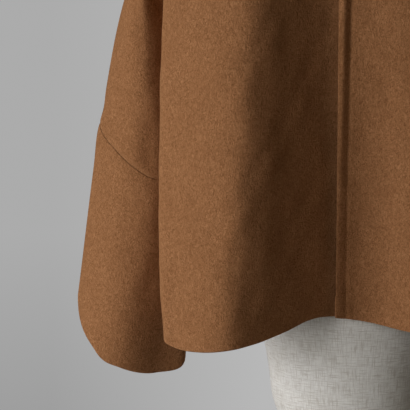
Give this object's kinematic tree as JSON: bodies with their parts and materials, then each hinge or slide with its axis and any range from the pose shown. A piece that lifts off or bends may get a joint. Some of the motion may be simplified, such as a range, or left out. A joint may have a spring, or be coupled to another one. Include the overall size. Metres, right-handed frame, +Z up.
{
  "type": "short coat on a limbless dress form",
  "caption": "Short A-line coat in brown brushed wool with wide drop-shoulder sleeves, worn by a linen dress form on a round-based stand.",
  "frame": {"origin": "centre of the underside of the stand's round base plate, on the floor", "axes": "+Z up along the pole; -Y out of the coat's front; -X towards the wearer's right"},
  "size_m": [0.808, 0.402, 1.4493],
  "materials": {
    "wool": "brushed camel-brown wool, matt with a short nap",
    "linen": "off-white linen stretched over the form",
    "wood": "satin turned wood",
    "steel": "satin brushed steel"
  },
  "bodies": {
    "root": {"front_right": "wool", "front_left": "wool", "back": "wool", "sleeve_right": "wool", "sleeve_left": "wool", "form_torso": "linen", "neck_cap": "wood", "pole_collar": "steel", "pole": "steel", "base_hub": "steel", "base_plate": "steel"}
  },
  "joints": []
}
